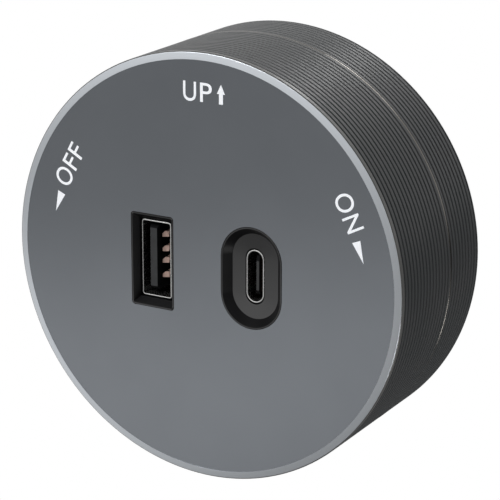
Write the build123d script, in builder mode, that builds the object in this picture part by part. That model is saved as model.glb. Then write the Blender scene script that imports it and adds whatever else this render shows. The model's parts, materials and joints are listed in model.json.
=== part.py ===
from build123d import *
import math
import os

# A round charging module for a slotted power track, with one type A and one type C socket.
# It is held by its twist head: the head passes the track's slot, and a quarter turn
# clockwise of the whole front half brings the two contacts onto the track's conductors.
# Frame: origin at the centre of the seat face that lies against the track, +X to the
# right and +Z up as seen from the front, +Y into the track. Depths count back from the
# front of the face, so a depth d lies at y = d - body_depth. All sizes are millimetres.
os.makedirs("parts", exist_ok=True)

# Body
body_diameter = 72.0
head_length = 18.0
base_length = 10.6
seam_gap = 0.1
edge_chamfer = 0.15

# Ribs on the side
rib_pitch = 1.12
groove_width = 0.46
groove_depth = 0.3
groove_floor = 0.18
first_groove = 1.2
rear_land = 0.4

# Front ring and face plate
ring_width = 1.2
ring_lip = 0.3
ring_skirt = 0.4
plate_recess = 0.05
plate_thickness = 1.5
plate_clearance = 0.05
shell_wall = 2.2

# Polished ring at the seam
trim_width = 0.4
trim_proud = 0.04

# Socket surrounds
usb_a_x = -9.6
usb_c_x = 9.1
surround_a_width = 8.2
surround_a_height = 16.06
surround_a_corner = 0.6
surround_c_width = 11.28
surround_c_height = 17.2
surround_rim = 0.28
surround_fit = 0.02
floor_c_width = 8.5
floor_c_height = 14.4
socket_recess = 1.35
funnel_a_depth = 1.05
well_a_gap = 0.25
surround_flange = 1.4
flange_thickness = 1.0
socket_clearance = 0.1

# Type A socket, to its standard sizes
a_width = 5.7
a_height = 13.1
a_wall = 0.3
a_corner = 0.5
a_tongue_thickness = 1.84
a_tongue_height = 11.1
a_tongue_offset = 0.03
a_tongue_chamfer = 0.27
a_tongue_setback = 0.65
a_block_depth = 3.0
a_contact_width = 0.9
a_contact_thickness = 0.3
a_contact_setback = 1.2
a_contact_heights = (3.5, 1.0, -1.0, -3.5)

# Type C socket, to its standard sizes
c_width = 3.26
c_height = 8.94
c_wall = 0.3
c_tongue_thickness = 0.7
c_tongue_height = 6.69
c_tongue_setback = 0.7
c_block_depth = 2.4
c_contact_pitch = 0.5
c_contact_width = 0.26
c_contact_thickness = 0.08
c_contact_length = 3.4
c_contact_setback = 0.6
c_contacts_per_side = 12
insulator_fit = 0.02

# Boards
board_thickness = 1.6
socket_length = 11.8
port_board_width = 44.0
port_board_corner = 2.0
standoff_inset_x = 3.5
standoff_inset_z = 3.0
standoff_radius = 2.2
board_gap = 5.2
main_board_clearance = 0.6
tall_part_room = 13.2
board_edge_margin = 0.5
main_post_count = 3
main_post_angle = 30.0
main_post_inset = 3.4
main_post_radius = 2.2
slot_clearance = 0.1

# Parts on the boards
core_width = 15.0
core_thickness = 6.4
core_length = 13.0
core_wall = 2.4
core_leg = 5.0
coil_height = 11.5
coil_clearance = 0.3
part_spacing = 0.4
bulk_radius = 4.0
bulk_length = 14.0
output_radius = 2.8
output_length = 9.0
choke_radius = 2.8
choke_length = 8.0
choke_bore = 1.2
varistor_radius = 3.5
varistor_thickness = 3.0
film_width = 7.4
film_height = 4.5
film_length = 9.0
fuse_radius = 1.6
fuse_length = 9.0
fuse_cap_length = 1.8
fuse_tube_inset = 0.1
fuse_x = -16.0
rectifier_size = (4.5, 6.5, 2.4)
rectifier_x = -9.0
inductor_size = (6.5, 6.5, 3.2)
inductor_gap = 1.15
part_chamfer = 0.3
chip_size = (5.0, 5.0, 0.9)
header_pitch = 2.54
header_pins_count = 5
header_pin_width = 0.64
header_block_width = 2.5

# Rear cup of the turning head
boss_count = 4
boss_length = 6.0
boss_radius = 3.0
boss_inset = 3.0
boss_web = 3.0
boss_root = 0.55
head_boss_angle = 45.0
head_boss_start = 9.9
cup_fit = 0.1
cup_wall = 1.6
cup_clearance = 0.6
main_post_height = 1.7
hub_shoulder = 3.0
hub_radius = 12.0
hub_bore_radius = 7.0
hub_recess = 0.2
running_fit = 0.05
thrust_gap = 0.05

# Screws
housing_screw_radius = 1.25
housing_head_radius = 2.25
housing_head_height = 1.3
board_screw_radius = 1.0
board_head_radius = 1.9
board_head_height = 1.1
twist_screw_radius = 0.8
twist_head_radius = 1.5
twist_head_height = 0.8
hole_clearance = 0.15
screw_bite = 4.5
tip_clearance = 0.5
recess_width = 0.5
recess_share = 0.65
head_sink = 0.1

# Fixed base
base_wall = 3.4
base_plate_thickness = 2.6
base_plate_fit = 0.05
base_plate_ledge = 1.15
base_boss_angle = 22.5
base_boss_radius = 2.3
base_boss_length = 5.6
ring_recess_depth = 1.3
ring_recess_clearance = 1.0
key_start = 16.6
key_length = 8.0
key_width = 8.8
key_height = 3.0
key_round = 1.2
key_chamfer = 0.3
pad_count = 4
pad_angle = 45.0
pad_circle_radius = 25.0
pad_radius = 3.0
pad_thickness = 0.9
pad_sink = 0.05

# Quarter-turn stop
turn_degrees = 90.0
stop_circle_radius = 20.0
stop_pin_radius = 1.0
stop_pin_press = 1.2
stop_pin_chamfer = 0.25
stop_slot_depth = 1.4
stop_clearance = 0.15
stop_pin_angle = 180.0

# Retaining ring and spring washer on the hub
washer_thickness = 0.3
washer_width = 2.4
washer_clearance = 0.2
retainer_thickness = 0.5
retainer_width = 2.8
retainer_groove = 0.6
retainer_play = 0.04
retainer_gap = 34.0

# Twist head
post_flange_radius = 10.0
post_flange_thickness = 1.2
post_flange_sink = 0.1
post_flange_fit = 0.05
post_screw_count = 4
post_screw_angle = 45.0
post_screw_circle_radius = 8.35
post_screw_bite = 2.4
neck_radius = 4.4
track_lip_space = 7.0
twist_length = 22.0
twist_width = 8.6
twist_depth = 9.0
twist_round = 1.2
twist_edge = 0.7
cover_screw_z = 2.4
cover_screw_bite = 3.4

# Contacts, their springs and strips
contact_width = 3.0
contact_depth = 4.8
contact_nose = 3.4
contact_foot = 2.0
contact_foot_lip = 0.4
contact_proud = 2.0
contact_travel = 1.0
contact_clearance = 0.05
contact_round = 0.8
strip_x = 2.8
strip_thickness = 0.5
strip_width = 2.5
strip_solder = 0.8
strip_end_margin = 2.0
spring_wire = 0.4
spring_radius = 1.2
spring_turns = 4.5
spring_gap = 0.05
spring_bore_clearance = 0.15
collar_wall = 0.4
collar_start = 2.0
collar_length = 4.0
collar_split = 0.6
tail_width = 2.4

# Screws as shank radius, head radius and head height
housing_screw = (housing_screw_radius, housing_head_radius, housing_head_height)
board_screw = (board_screw_radius, board_head_radius, board_head_height)
twist_screw = (twist_screw_radius, twist_head_radius, twist_head_height)

# Derived radii, and places as depths behind the front of the face
body_radius = body_diameter / 2
body_depth = head_length + base_length
ring_inner = body_radius - ring_width
skirt_outer = ring_inner + ring_skirt
shell_inner = body_radius - shell_wall
plate_back = plate_recess + plate_thickness
trim_front = head_length - trim_width / 2
trim_back = head_length + trim_width / 2
base_front = trim_back + seam_gap
base_inner = body_radius - base_wall
socket_front = plate_recess + socket_recess
port_board_front = socket_front + socket_length
port_board_back = port_board_front + board_thickness
main_board_front = port_board_back + board_gap
main_board_back = main_board_front + board_thickness
flange_front = head_boss_start + boss_length
boss_circle = shell_inner - boss_inset
base_plate_front = body_depth - base_plate_thickness
base_boss_circle = base_inner - base_boss_radius
cup_radius = base_boss_circle - base_boss_radius - cup_clearance
cup_inner = cup_radius - cup_wall
main_board_radius = cup_inner - main_board_clearance
main_post_circle = main_board_radius - main_post_inset
main_post_z = main_post_circle * math.sin(math.radians(main_post_angle))
port_board_height = 2 * (main_board_radius - tall_part_room)
beside_flange = surround_a_width / 2 + surround_flange + socket_clearance - usb_a_x
standoff_x = max(port_board_width / 2 - standoff_inset_x, beside_flange + standoff_radius)
standoff_z = port_board_height / 2 - standoff_inset_z
header_x = standoff_x - standoff_radius - part_spacing - header_block_width / 2
inductor_x = header_x - header_block_width / 2 - inductor_gap - inductor_size[0] / 2
cup_floor = main_board_back + main_post_height
cup_back = cup_floor + cup_wall
hub_start = base_plate_front - thrust_gap
hub_end = body_depth - hub_recess
hub_groove_radius = hub_radius - retainer_groove
recess_front = body_depth - ring_recess_depth
retainer_front = recess_front + washer_thickness + retainer_play
retainer_back = retainer_front + retainer_thickness
retainer_radius = hub_groove_radius + retainer_width
washer_inner = hub_radius + washer_clearance
recess_radius = max(retainer_radius, washer_inner + washer_width) + ring_recess_clearance
flange_back = hub_end - post_flange_sink
flange_seat = flange_back - post_flange_thickness
twist_front_y = track_lip_space
twist_split_y = twist_front_y + twist_depth / 2
twist_back_y = twist_front_y + twist_depth
strip_end_y = twist_back_y - strip_end_margin
strip_outer = strip_x + strip_thickness
foot_front_x = twist_length / 2 + contact_proud - contact_nose
contact_back_x = foot_front_x - contact_foot
tail_z = neck_radius - 2 * collar_wall
above_port_board = port_board_height / 2 + part_spacing
beside_core = core_width / 2 + part_spacing
above_post_screws = main_post_z + board_head_radius + part_spacing
upper_row_z = max(above_port_board, above_post_screws)


def y_at(depth):
    """The y of a depth behind the front of the face."""
    return depth - body_depth


def face_plane(depth):
    """A sketch plane at a depth, seen from the front: x to the right, y up."""
    return Plane.XZ.offset(body_depth - depth)


def y_plane(y):
    """The same plane at a given y. An extrusion from it goes towards the front."""
    return Plane.XZ.offset(-y)


def finish(piece, label):
    """Names a finished piece and writes it."""
    piece.part.label = label
    export_step(piece.part, f"parts/{label}.step")


def grooves(first, last):
    """Depths of the groove centres from first on, none past last."""
    count = int((last - first) / rib_pitch + 1e-6) + 1
    return [first + i * rib_pitch for i in range(count)]


def ribbed_edge(front, back, groove_depths):
    """Points of the ribbed outside, from front to back, as (radius, y)."""
    points = [(body_radius, y_at(front))]
    half = groove_width / 2
    floor_half = groove_floor / 2
    for depth in groove_depths:
        points += [
            (body_radius, y_at(depth - half)),
            (body_radius - groove_depth, y_at(depth - floor_half)),
            (body_radius - groove_depth, y_at(depth + floor_half)),
            (body_radius, y_at(depth + half)),
        ]
    return points + [(body_radius, y_at(back))]


def turned(points, mode=Mode.ADD):
    """A closed outline of (radius, y) points, turned about the Y axis in the open part."""
    with BuildSketch(Plane.XY) as outline:
        with BuildLine():
            Polyline(*points, close=True)
        make_face()
    revolve(outline.sketch, axis=Axis.Y, mode=mode)


def discs(points, radius, front, back, mode=Mode.ADD):
    """Round slabs on the (x, z) points between two depths in the open part."""
    with BuildSketch(face_plane(back)) as outline:
        with Locations(*points):
            Circle(radius)
    extrude(outline.sketch, amount=back - front, mode=mode)


def block(centre, size, front, back, mode=Mode.ADD):
    """A rectangular block on an (x, z) centre between two depths in the open part."""
    with BuildSketch(face_plane(back)) as outline:
        with Locations(centre):
            Rectangle(*size)
    extrude(outline.sketch, amount=back - front, mode=mode)


def pan_screws(label, points, bearing, size, length, from_behind=True):
    """Pan head screws with a cross recess on (x, z) points, bearing on a depth."""
    shank, head, height = size
    side = 1 if from_behind else -1
    with BuildPart() as screws:
        with BuildSketch(face_plane(bearing)):
            with Locations(*points):
                Circle(shank)
        extrude(amount=side * length)
        with BuildSketch(face_plane(bearing)):
            with Locations(*points):
                Circle(head)
        extrude(amount=-side * height)
        with BuildSketch(face_plane(bearing + side * height)):
            with Locations(*points):
                Rectangle(2 * head * recess_share, recess_width)
                Rectangle(recess_width, 2 * head * recess_share)
        extrude(amount=side * height * recess_share, mode=Mode.SUBTRACT)
    finish(screws, label)


def polar_points(radius, count, start):
    """The (x, z) points of an even circle, as seen from the front."""
    angles = [math.radians(start + 360 * i / count) for i in range(count)]
    return [(radius * math.cos(a), radius * math.sin(a)) for a in angles]


boss_points = polar_points(boss_circle, boss_count, head_boss_angle)
base_boss_points = polar_points(base_boss_circle, boss_count, base_boss_angle)
pad_points = polar_points(pad_circle_radius, pad_count, pad_angle)
main_post_points = polar_points(main_post_circle, main_post_count, main_post_angle)
post_screw_points = polar_points(post_screw_circle_radius, post_screw_count, post_screw_angle)
stop_pin_point = polar_points(stop_circle_radius, 1, stop_pin_angle)
cover_screw_points = [(0, cover_screw_z), (0, -cover_screw_z)]
standoff_points = [(x, z) for x in (-standoff_x, standoff_x) for z in (-standoff_z, standoff_z)]
header_points = [
    (header_x, (i - (header_pins_count - 1) / 2) * header_pitch) for i in range(header_pins_count)
]
strip_points = [(side * (strip_x + strip_thickness / 2), 0) for side in (-1, 1)]


def wall_bosses(radius, angle, circle, wall_radius, front, back):
    """Screw bosses, each with a web to the wall, between two depths."""
    web = wall_radius - circle + boss_root
    with BuildSketch(face_plane(back)) as outline:
        with PolarLocations(circle, boss_count, start_angle=angle):
            Circle(radius)
        with PolarLocations(circle + web / 2, boss_count, start_angle=angle):
            Rectangle(web, min(boss_web, 2 * radius))
    extrude(outline.sketch, amount=back - front)


# Front half: ribbed shell with four screw bosses
with BuildPart() as head_shell:
    turned(
        ribbed_edge(ring_lip, trim_front, grooves(first_groove, head_length - rib_pitch))
        + [
            (shell_inner, y_at(trim_front)),
            (shell_inner, y_at(plate_back)),
            (skirt_outer, y_at(plate_back)),
            (skirt_outer, y_at(ring_lip)),
        ]
    )
    wall_bosses(
        boss_radius, head_boss_angle, boss_circle, shell_inner, head_boss_start, flange_front
    )
    discs(
        boss_points, housing_screw_radius, flange_front - screw_bite - tip_clearance, flange_front,
        Mode.SUBTRACT,
    )
finish(head_shell, "head_shell")

# Pale ring round the face, with a skirt that seats in the shell
with BuildPart() as bezel_ring:
    turned(
        [
            (ring_inner, y_at(0)),
            (body_radius - edge_chamfer, y_at(0)),
            (body_radius, y_at(edge_chamfer)),
            (body_radius, y_at(ring_lip)),
            (skirt_outer, y_at(ring_lip)),
            (skirt_outer, y_at(plate_back)),
            (ring_inner, y_at(plate_back)),
        ]
    )
finish(bezel_ring, "bezel_ring")

# Face plate with two windows, and four standoffs for the port board
with BuildPart() as face_plate:
    discs([(0, 0)], ring_inner - plate_clearance, plate_recess, plate_back)
    with BuildSketch(face_plane(plate_back)):
        with Locations((usb_a_x, 0)):
            RectangleRounded(surround_a_width, surround_a_height, surround_a_corner)
        with Locations((usb_c_x, 0)):
            SlotOverall(surround_c_height, surround_c_width, rotation=90)
    extrude(amount=plate_thickness, mode=Mode.SUBTRACT)
    discs(standoff_points, standoff_radius, plate_back, port_board_front)
    discs(
        standoff_points, board_screw_radius, port_board_front - screw_bite - tip_clearance,
        port_board_front, Mode.SUBTRACT,
    )
finish(face_plate, "face_plate")

# Black surround of the type A socket: a sloped frame round a short straight well,
# with a flange behind the plate
with BuildPart() as usb_a_surround:
    with BuildSketch(face_plane(plate_back)):
        with Locations((usb_a_x, 0)):
            RectangleRounded(
                surround_a_width - 2 * surround_fit,
                surround_a_height - 2 * surround_fit,
                surround_a_corner - surround_fit,
            )
    extrude(amount=plate_thickness)
    with BuildSketch(face_plane(plate_back + flange_thickness)):
        with Locations((usb_a_x, 0)):
            RectangleRounded(
                surround_a_width + 2 * surround_flange,
                surround_a_height + 2 * surround_flange,
                surround_a_corner + surround_flange,
            )
    extrude(amount=flange_thickness)
    with BuildSketch(face_plane(plate_back + flange_thickness)):
        with Locations((usb_a_x, 0)):
            RectangleRounded(
                a_width + 2 * well_a_gap, a_height + 2 * well_a_gap, a_corner
            )
    extrude(amount=plate_thickness + flange_thickness, mode=Mode.SUBTRACT)
    with BuildSketch(face_plane(plate_recess + funnel_a_depth)):
        with Locations((usb_a_x, 0)):
            RectangleRounded(
                a_width + 2 * well_a_gap, a_height + 2 * well_a_gap, a_corner
            )
    with BuildSketch(face_plane(plate_recess)):
        with Locations((usb_a_x, 0)):
            RectangleRounded(
                surround_a_width - 2 * surround_rim,
                surround_a_height - 2 * surround_rim,
                surround_a_corner - surround_rim / 2,
            )
    loft(mode=Mode.SUBTRACT)
finish(usb_a_surround, "usb_a_surround")

# Black surround of the type C socket: an oval dish with a flat floor
with BuildPart() as usb_c_surround:
    with BuildSketch(face_plane(plate_back)):
        with Locations((usb_c_x, 0)):
            SlotOverall(
                surround_c_height - 2 * surround_fit,
                surround_c_width - 2 * surround_fit,
                rotation=90,
            )
    extrude(amount=plate_thickness)
    with BuildSketch(face_plane(plate_back + flange_thickness)):
        with Locations((usb_c_x, 0)):
            SlotOverall(
                surround_c_height + 2 * surround_flange,
                surround_c_width + 2 * surround_flange,
                rotation=90,
            )
    extrude(amount=flange_thickness)
    with BuildSketch(face_plane(socket_front)):
        with Locations((usb_c_x, 0)):
            SlotOverall(floor_c_height, floor_c_width, rotation=90)
    with BuildSketch(face_plane(plate_recess)):
        with Locations((usb_c_x, 0)):
            SlotOverall(
                surround_c_height - 2 * surround_rim,
                surround_c_width - 2 * surround_rim,
                rotation=90,
            )
    loft(mode=Mode.SUBTRACT)
    with BuildSketch(face_plane(plate_back + flange_thickness)):
        with Locations((usb_c_x, 0)):
            SlotOverall(
                c_height + 2 * socket_clearance, c_width + 2 * socket_clearance, rotation=90
            )
    extrude(amount=plate_thickness + flange_thickness, mode=Mode.SUBTRACT)
finish(usb_c_surround, "usb_c_surround")

# Type A socket: steel shell, plastic tongue on its rear block, four contacts
with BuildPart() as usb_a_shell:
    with BuildSketch(face_plane(port_board_front)):
        with Locations((usb_a_x, 0)):
            RectangleRounded(a_width, a_height, a_corner)
            RectangleRounded(
                a_width - 2 * a_wall,
                a_height - 2 * a_wall,
                a_corner - a_wall,
                mode=Mode.SUBTRACT,
            )
    extrude(amount=socket_length)
finish(usb_a_shell, "usb_a_shell")

a_tongue_front = socket_front + a_tongue_setback
a_tongue_x = usb_a_x - a_tongue_offset - a_tongue_thickness / 2
with BuildPart() as usb_a_tongue:
    block((a_tongue_x, 0), (a_tongue_thickness, a_tongue_height), a_tongue_front, port_board_front)
    chamfer(usb_a_tongue.faces().sort_by(Axis.Y)[0].edges(), a_tongue_chamfer)
    block_size = (a_width - 2 * (a_wall + insulator_fit), a_height - 2 * (a_wall + a_corner))
    block((usb_a_x, 0), block_size, port_board_front - a_block_depth, port_board_front)
finish(usb_a_tongue, "usb_a_tongue")

a_contact_x = usb_a_x - a_tongue_offset + a_contact_thickness / 2
with BuildPart() as usb_a_contacts:
    for height in a_contact_heights:
        block(
            (a_contact_x, height), (a_contact_thickness, a_contact_width),
            a_tongue_front + a_contact_setback, port_board_front - a_block_depth,
        )
finish(usb_a_contacts, "usb_a_contacts")

# Type C socket: steel shell, tongue on its rear block, two rows of contacts
with BuildPart() as usb_c_shell:
    with BuildSketch(face_plane(port_board_front)):
        with Locations((usb_c_x, 0)):
            SlotOverall(c_height, c_width, rotation=90)
            SlotOverall(
                c_height - 2 * c_wall, c_width - 2 * c_wall, rotation=90, mode=Mode.SUBTRACT
            )
    extrude(amount=socket_length)
finish(usb_c_shell, "usb_c_shell")

c_tongue_front = socket_front + c_tongue_setback
with BuildPart() as usb_c_tongue:
    block((usb_c_x, 0), (c_tongue_thickness, c_tongue_height), c_tongue_front, port_board_front)
    with BuildSketch(face_plane(port_board_front)):
        with Locations((usb_c_x, 0)):
            SlotOverall(
                c_height - 2 * (c_wall + insulator_fit),
                c_width - 2 * (c_wall + insulator_fit),
                rotation=90,
            )
    extrude(amount=c_block_depth)
finish(usb_c_tongue, "usb_c_tongue")

c_contact_x = (c_tongue_thickness + c_contact_thickness) / 2
c_contact_front = c_tongue_front + c_contact_setback
with BuildPart() as usb_c_contacts:
    with BuildSketch(face_plane(c_contact_front + c_contact_length)):
        for side in (-1, 1):
            with Locations((usb_c_x + side * c_contact_x, 0)):
                with GridLocations(0, c_contact_pitch, 1, c_contacts_per_side):
                    Rectangle(c_contact_thickness, c_contact_width)
    extrude(amount=c_contact_length)
finish(usb_c_contacts, "usb_c_contacts")

# Port board on the face plate's standoffs, which carries both sockets
with BuildPart() as port_board:
    with BuildSketch(face_plane(port_board_back)):
        RectangleRounded(port_board_width, port_board_height, port_board_corner)
        with Locations(*standoff_points):
            Circle(board_screw_radius + hole_clearance, mode=Mode.SUBTRACT)
        with Locations(*header_points):
            Rectangle(header_pin_width, header_pin_width, mode=Mode.SUBTRACT)
    extrude(amount=board_thickness)
finish(port_board, "port_board")
pan_screws(
    "port_board_screws", standoff_points, port_board_back, board_screw, board_thickness + screw_bite
)

with BuildPart() as controller_chip:
    chip_width, chip_height, chip_thickness = chip_size
    block((0, 0), (chip_width, chip_height), port_board_back, port_board_back + chip_thickness)
finish(controller_chip, "controller_chip")

# Main board on three posts of the cup
with BuildPart() as main_board:
    with BuildSketch(face_plane(main_board_back)):
        Circle(main_board_radius)
        with Locations(*main_post_points):
            Circle(board_screw_radius + hole_clearance, mode=Mode.SUBTRACT)
        with Locations(*header_points):
            Rectangle(header_pin_width, header_pin_width, mode=Mode.SUBTRACT)
        with Locations(*strip_points):
            Rectangle(
                strip_thickness + slot_clearance, strip_width + slot_clearance, mode=Mode.SUBTRACT
            )
        with Locations((0, tail_z + collar_wall / 2)):
            Rectangle(tail_width + slot_clearance, collar_wall + slot_clearance, mode=Mode.SUBTRACT)
    extrude(amount=board_thickness)
finish(main_board, "main_board")
main_screw_bite = main_post_height + cup_wall - tip_clearance
pan_screws(
    "main_board_screws", main_post_points, main_board_front, board_screw,
    board_thickness + main_screw_bite, from_behind=False,
)

# Transformer: a core of two legs, two yokes and a middle leg, with its coil round that leg
core_z = above_port_board + coil_height / 2
core_front = main_board_front - core_length
window = (core_width - 2 * core_wall - core_leg) / 2
coil_width = core_width - 2 * (core_wall + coil_clearance)
with BuildPart() as transformer_core:
    block((0, core_z), (core_width, core_thickness), core_front, main_board_front)
    for side in (-1, 1):
        block(
            (side * (core_leg + window) / 2, core_z), (window, core_thickness),
            core_front + core_wall, main_board_front - core_wall, Mode.SUBTRACT,
        )
finish(transformer_core, "transformer_core")

with BuildPart() as transformer_coil:
    coil_front = core_front + core_wall + coil_clearance
    coil_back = main_board_front - core_wall - coil_clearance
    coil_bore = (core_leg + coil_clearance / 2, core_thickness + coil_clearance / 2)
    block((0, core_z), (coil_width, coil_height), coil_front, coil_back)
    block((0, core_z), coil_bore, coil_front, coil_back, Mode.SUBTRACT)
finish(transformer_coil, "transformer_coil")

# Round parts that stand on the main board
with BuildPart() as bulk_capacitors:
    bulk_x = choke_radius + part_spacing + bulk_radius
    bulk_z = -above_port_board - bulk_radius
    bulk_points = [(-bulk_x, bulk_z), (bulk_x, bulk_z)]
    discs(bulk_points, bulk_radius, main_board_front - bulk_length, main_board_front)
finish(bulk_capacitors, "bulk_capacitors")

with BuildPart() as output_capacitors:
    output_circle = main_board_radius - board_edge_margin - output_radius
    output_z = -above_port_board - output_radius
    output_x = math.sqrt(output_circle**2 - output_z**2)
    output_points = [(-output_x, output_z), (output_x, output_z)]
    discs(output_points, output_radius, main_board_front - output_length, main_board_front)
finish(output_capacitors, "output_capacitors")

with BuildPart() as choke:
    choke_point = (0, -above_port_board - choke_radius)
    discs([choke_point], choke_radius, main_board_front - choke_length, main_board_front)
    discs([choke_point], choke_bore, main_board_front - choke_length, main_board_front, Mode.SUBTRACT)
finish(choke, "choke")

# Varistor disc on edge, and film capacitor
with BuildPart() as varistor:
    varistor_x = -beside_core - varistor_radius
    varistor_z = upper_row_z + varistor_thickness / 2
    with BuildSketch(Plane.XY.offset(varistor_z - varistor_thickness / 2)):
        with Locations((varistor_x, y_at(main_board_front) - varistor_radius)):
            Circle(varistor_radius)
    extrude(amount=varistor_thickness)
finish(varistor, "varistor")

with BuildPart() as film_capacitor:
    film_x = beside_core + film_width / 2
    film_z = upper_row_z + film_height / 2
    block(
        (film_x, film_z), (film_width, film_height), main_board_front - film_length,
        main_board_front,
    )
finish(film_capacitor, "film_capacitor")

# Fuse: a glass tube between two metal caps, lying on the main board
fuse_y = y_at(main_board_front) - fuse_radius
with BuildPart() as fuse_tube:
    with BuildSketch(Plane.XY.offset(-fuse_length / 2 + fuse_cap_length)):
        with Locations((fuse_x, fuse_y)):
            Circle(fuse_radius - fuse_tube_inset)
    extrude(amount=fuse_length - 2 * fuse_cap_length)
finish(fuse_tube, "fuse_tube")

with BuildPart() as fuse_caps:
    for start in (-fuse_length / 2, fuse_length / 2 - fuse_cap_length):
        with BuildSketch(Plane.XY.offset(start)):
            with Locations((fuse_x, fuse_y)):
                Circle(fuse_radius)
        extrude(amount=fuse_cap_length)
finish(fuse_caps, "fuse_caps")

# Flat parts between the boards
for label, x, size in (
    ("rectifier", rectifier_x, rectifier_size),
    ("inductor", inductor_x, inductor_size),
):
    width, height, thickness = size
    with BuildPart() as flat_part:
        block((x, 0), (width, height), main_board_front - thickness, main_board_front)
        chamfer(flat_part.faces().sort_by(Axis.Y)[0].edges(), part_chamfer)
    finish(flat_part, label)

# Pin header between the boards: the block sits on the main board
with BuildPart() as header_block:
    block_height = header_pins_count * header_pitch
    block(
        (header_x, 0), (header_block_width, block_height),
        main_board_front - header_block_width, main_board_front,
    )
    for point in header_points:
        block(
            point, (header_pin_width, header_pin_width), main_board_front - header_block_width,
            main_board_front, Mode.SUBTRACT,
        )
finish(header_block, "header_block")

with BuildPart() as header_pins:
    for point in header_points:
        block(
            point, (header_pin_width, header_pin_width), port_board_front - strip_solder,
            main_board_back + strip_solder,
        )
finish(header_pins, "header_pins")

# Polished ring bonded to the rear edge of the shell
with BuildPart() as trim_ring:
    turned(
        [
            (shell_inner, y_at(trim_front)),
            (body_radius + trim_proud, y_at(trim_front)),
            (body_radius + trim_proud, y_at(trim_back)),
            (shell_inner, y_at(trim_back)),
        ]
    )
finish(trim_ring, "trim_ring")

# Rear cup with the bearing hub: bolted to the shell, it turns in the base plate's bore
cup_screw_seat = trim_back - housing_head_height - head_sink
with BuildPart() as head_cup:
    turned(
        [
            (hub_bore_radius, y_at(cup_floor)),
            (cup_inner, y_at(cup_floor)),
            (cup_inner, y_at(flange_front)),
            (shell_inner - cup_fit, y_at(flange_front)),
            (shell_inner - cup_fit, y_at(trim_back)),
            (cup_radius, y_at(trim_back)),
            (cup_radius, y_at(cup_back)),
            (hub_radius + hub_shoulder, y_at(cup_back)),
            (hub_radius + hub_shoulder, y_at(hub_start)),
            (hub_radius, y_at(hub_start)),
            (hub_radius, y_at(retainer_front)),
            (hub_groove_radius, y_at(retainer_front)),
            (hub_groove_radius, y_at(retainer_back)),
            (hub_radius, y_at(retainer_back)),
            (hub_radius, y_at(hub_end)),
            (post_flange_radius + post_flange_fit, y_at(hub_end)),
            (post_flange_radius + post_flange_fit, y_at(flange_seat)),
            (hub_bore_radius, y_at(flange_seat)),
        ]
    )
    discs(main_post_points, main_post_radius, main_board_back, cup_floor)
    discs(
        boss_points, housing_screw_radius + hole_clearance, flange_front, trim_back, Mode.SUBTRACT
    )
    discs(
        boss_points, housing_head_radius + hole_clearance, cup_screw_seat, trim_back, Mode.SUBTRACT
    )
    discs(
        main_post_points, board_screw_radius, main_board_back, main_board_back + main_screw_bite,
        Mode.SUBTRACT,
    )
    discs(
        post_screw_points, twist_screw_radius, flange_seat - post_screw_bite - head_sink, flange_seat,
        Mode.SUBTRACT,
    )
    discs(
        stop_pin_point, stop_pin_radius,
        cup_back - stop_pin_press, cup_back, Mode.SUBTRACT,
    )
finish(head_cup, "head_cup")
pan_screws(
    "cup_screws", boss_points, cup_screw_seat, housing_screw,
    cup_screw_seat - flange_front + screw_bite,
)

# Pin of the quarter-turn stop, pressed into the cup
with BuildPart() as stop_pin:
    stop_pin_end = base_plate_front + stop_slot_depth - stop_clearance
    discs(
        stop_pin_point, stop_pin_radius,
        cup_back - stop_pin_press, stop_pin_end,
    )
    chamfer(stop_pin.faces().sort_by(Axis.Y)[-1].edges(), stop_pin_chamfer)
finish(stop_pin, "stop_pin")

# Open ring in the hub's groove, which keeps the hub in the base
with BuildPart() as retaining_ring:
    with BuildSketch(face_plane(retainer_back)):
        Circle(retainer_radius)
        Circle(hub_groove_radius, mode=Mode.SUBTRACT)
        gap_x = 2 * retainer_radius
        gap_z = gap_x * math.tan(math.radians(retainer_gap / 2))
        with BuildLine():
            Polyline((0, 0), (gap_x, gap_z), (gap_x, -gap_z), close=True)
        make_face(mode=Mode.SUBTRACT)
    extrude(amount=retainer_thickness)
finish(retaining_ring, "retaining_ring")

# Spring washer, flattened between the base plate and the retaining ring
with BuildPart() as spring_washer:
    washer_back = recess_front + washer_thickness
    discs([(0, 0)], washer_inner + washer_width, recess_front, washer_back)
    discs([(0, 0)], washer_inner, recess_front, washer_back, Mode.SUBTRACT)
finish(spring_washer, "spring_washer")

# Fixed base: ribbed ring with four screw bosses
with BuildPart() as base_shell:
    last_groove = body_depth - rear_land
    base_grooves = grooves(head_length + rib_pitch, last_groove)
    turned(
        ribbed_edge(base_front, body_depth - edge_chamfer, base_grooves)
        + [
            (body_radius - edge_chamfer, y_at(body_depth)),
            (base_inner + base_plate_ledge, y_at(body_depth)),
            (base_inner + base_plate_ledge, y_at(base_plate_front)),
            (base_inner, y_at(base_plate_front)),
            (base_inner, y_at(base_front)),
        ]
    )
    wall_bosses(
        base_boss_radius, base_boss_angle, base_boss_circle, base_inner,
        base_plate_front - base_boss_length, base_plate_front,
    )
    discs(
        base_boss_points, housing_screw_radius, base_plate_front - screw_bite - tip_clearance,
        base_plate_front, Mode.SUBTRACT,
    )
finish(base_shell, "base_shell")

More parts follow.
